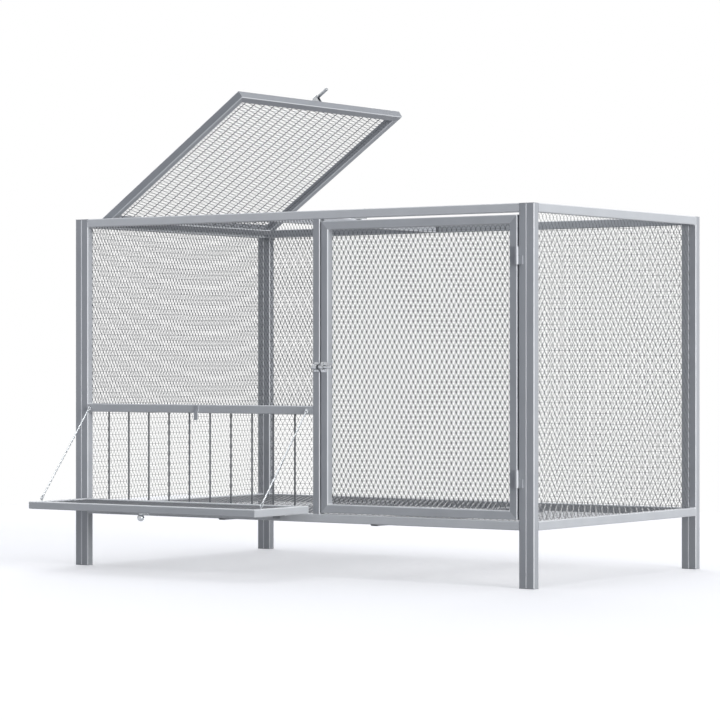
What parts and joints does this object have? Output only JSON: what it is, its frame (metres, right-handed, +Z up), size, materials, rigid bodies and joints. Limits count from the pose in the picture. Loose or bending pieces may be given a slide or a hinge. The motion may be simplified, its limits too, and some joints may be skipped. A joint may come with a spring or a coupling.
{
  "type": "chicken cage",
  "caption": "Grey steel chicken cage on legs with mesh walls, a side-hung door, a raised roof lid and an open feed flap.",
  "frame": {"origin": "on the ground under the middle of the outline with the flap let down", "axes": "+X along the front to the door side, +Y from the front to the back, +Z up"},
  "size_m": [1.2, 0.8884, 1.0685],
  "materials": {
    "painted_steel": "satin",
    "mesh_steel": "satin",
    "chrome": "polished",
    "bright_wire": "satin"
  },
  "bodies": {
    "frame": {"left_front_post": "painted_steel", "left_back_post": "painted_steel", "right_front_post": "painted_steel", "right_back_post": "painted_steel", "front_left_stile": "painted_steel", "front_right_stile": "painted_steel", "back_left_stile": "painted_steel", "back_right_stile": "painted_steel", "front_top_rail": "painted_steel", "front_bottom_rail": "painted_steel", "back_top_rail": "painted_steel", "back_bottom_rail": "painted_steel", "left_top_rail": "painted_steel", "left_bottom_rail": "painted_steel", "right_top_rail": "painted_steel", "right_bottom_rail": "painted_steel", "feed_rail": "painted_steel", "door_post": "painted_steel", "roof_long_rails": "painted_steel", "roof_end_rail": "painted_steel", "roof_crossbar": "painted_steel", "floor_bearers": "painted_steel", "foot_plates": "painted_steel", "post_caps": "painted_steel", "front_mesh": "mesh_steel", "back_mesh": "mesh_steel", "left_mesh": "mesh_steel", "right_mesh": "mesh_steel", "floor_mesh": "mesh_steel", "feed_bars": "painted_steel", "door_hinge_pins": "painted_steel", "lid_hinge_pins": "painted_steel", "flap_hinge_pins": "painted_steel", "door_keeper": "chrome", "lid_keeper": "chrome", "flap_keeper": "painted_steel", "stay_upper_eyes": "bright_wire", "left_stay": "bright_wire", "right_stay": "bright_wire"},
    "door": {"door_top_rail": "painted_steel", "door_bottom_rail": "painted_steel", "door_bolt_stile": "painted_steel", "door_hinge_stile": "painted_steel", "door_mesh": "mesh_steel", "door_hinge_sockets": "painted_steel", "door_bolt_guide": "chrome"},
    "door_bolt": {"door_bolt": "chrome"},
    "lid": {"lid_side_rails": "painted_steel", "lid_end_rails": "painted_steel", "lid_mesh": "mesh_steel", "lid_hinge_sockets": "painted_steel", "lid_bolt_guide": "chrome"},
    "lid_bolt": {"lid_bolt": "chrome"},
    "flap": {"flap_side_rails": "painted_steel", "flap_long_rails": "painted_steel", "flap_mesh": "mesh_steel", "flap_hinge_sockets": "painted_steel", "stay_lower_eyes": "bright_wire"},
    "flap_knob": {"flap_knob": "chrome"}
  },
  "joints": [
    {"name": "door_hinge", "type": "hinge", "parent": "frame", "child": "door", "pos_m": [0.562, -0.25015, 0.44175], "axis": [0, 0, 1], "range_deg": [0, 170]},
    {"name": "door_bolt_slide", "type": "slide", "parent": "door", "child": "door_bolt", "axis": [-1, 0, 0], "range_m": [0, 0.012]},
    {"name": "lid_hinge", "type": "hinge", "parent": "frame", "child": "lid", "pos_m": [-0.562, 0.09915, 0.7743], "axis": [0, -1, 0], "range_deg": [-34.5, 70.5]},
    {"name": "lid_bolt_slide", "type": "slide", "parent": "lid", "child": "lid_bolt", "axis": [0.8241, 0, 0.5664], "range_m": [0, 0.014]},
    {"name": "flap_hinge", "type": "hinge", "parent": "frame", "child": "flap", "pos_m": [-0.2545, -0.25015, 0.13], "axis": [-1, 0, 0], "range_deg": [0, 90], "deforming": ["left_stay", "right_stay"]},
    {"name": "flap_knob_turn", "type": "hinge", "parent": "flap", "child": "flap_knob", "pos_m": [-0.2545, -0.43615, 0.1343], "axis": [0, 0, -1], "range_deg": [0, 90]}
  ]
}
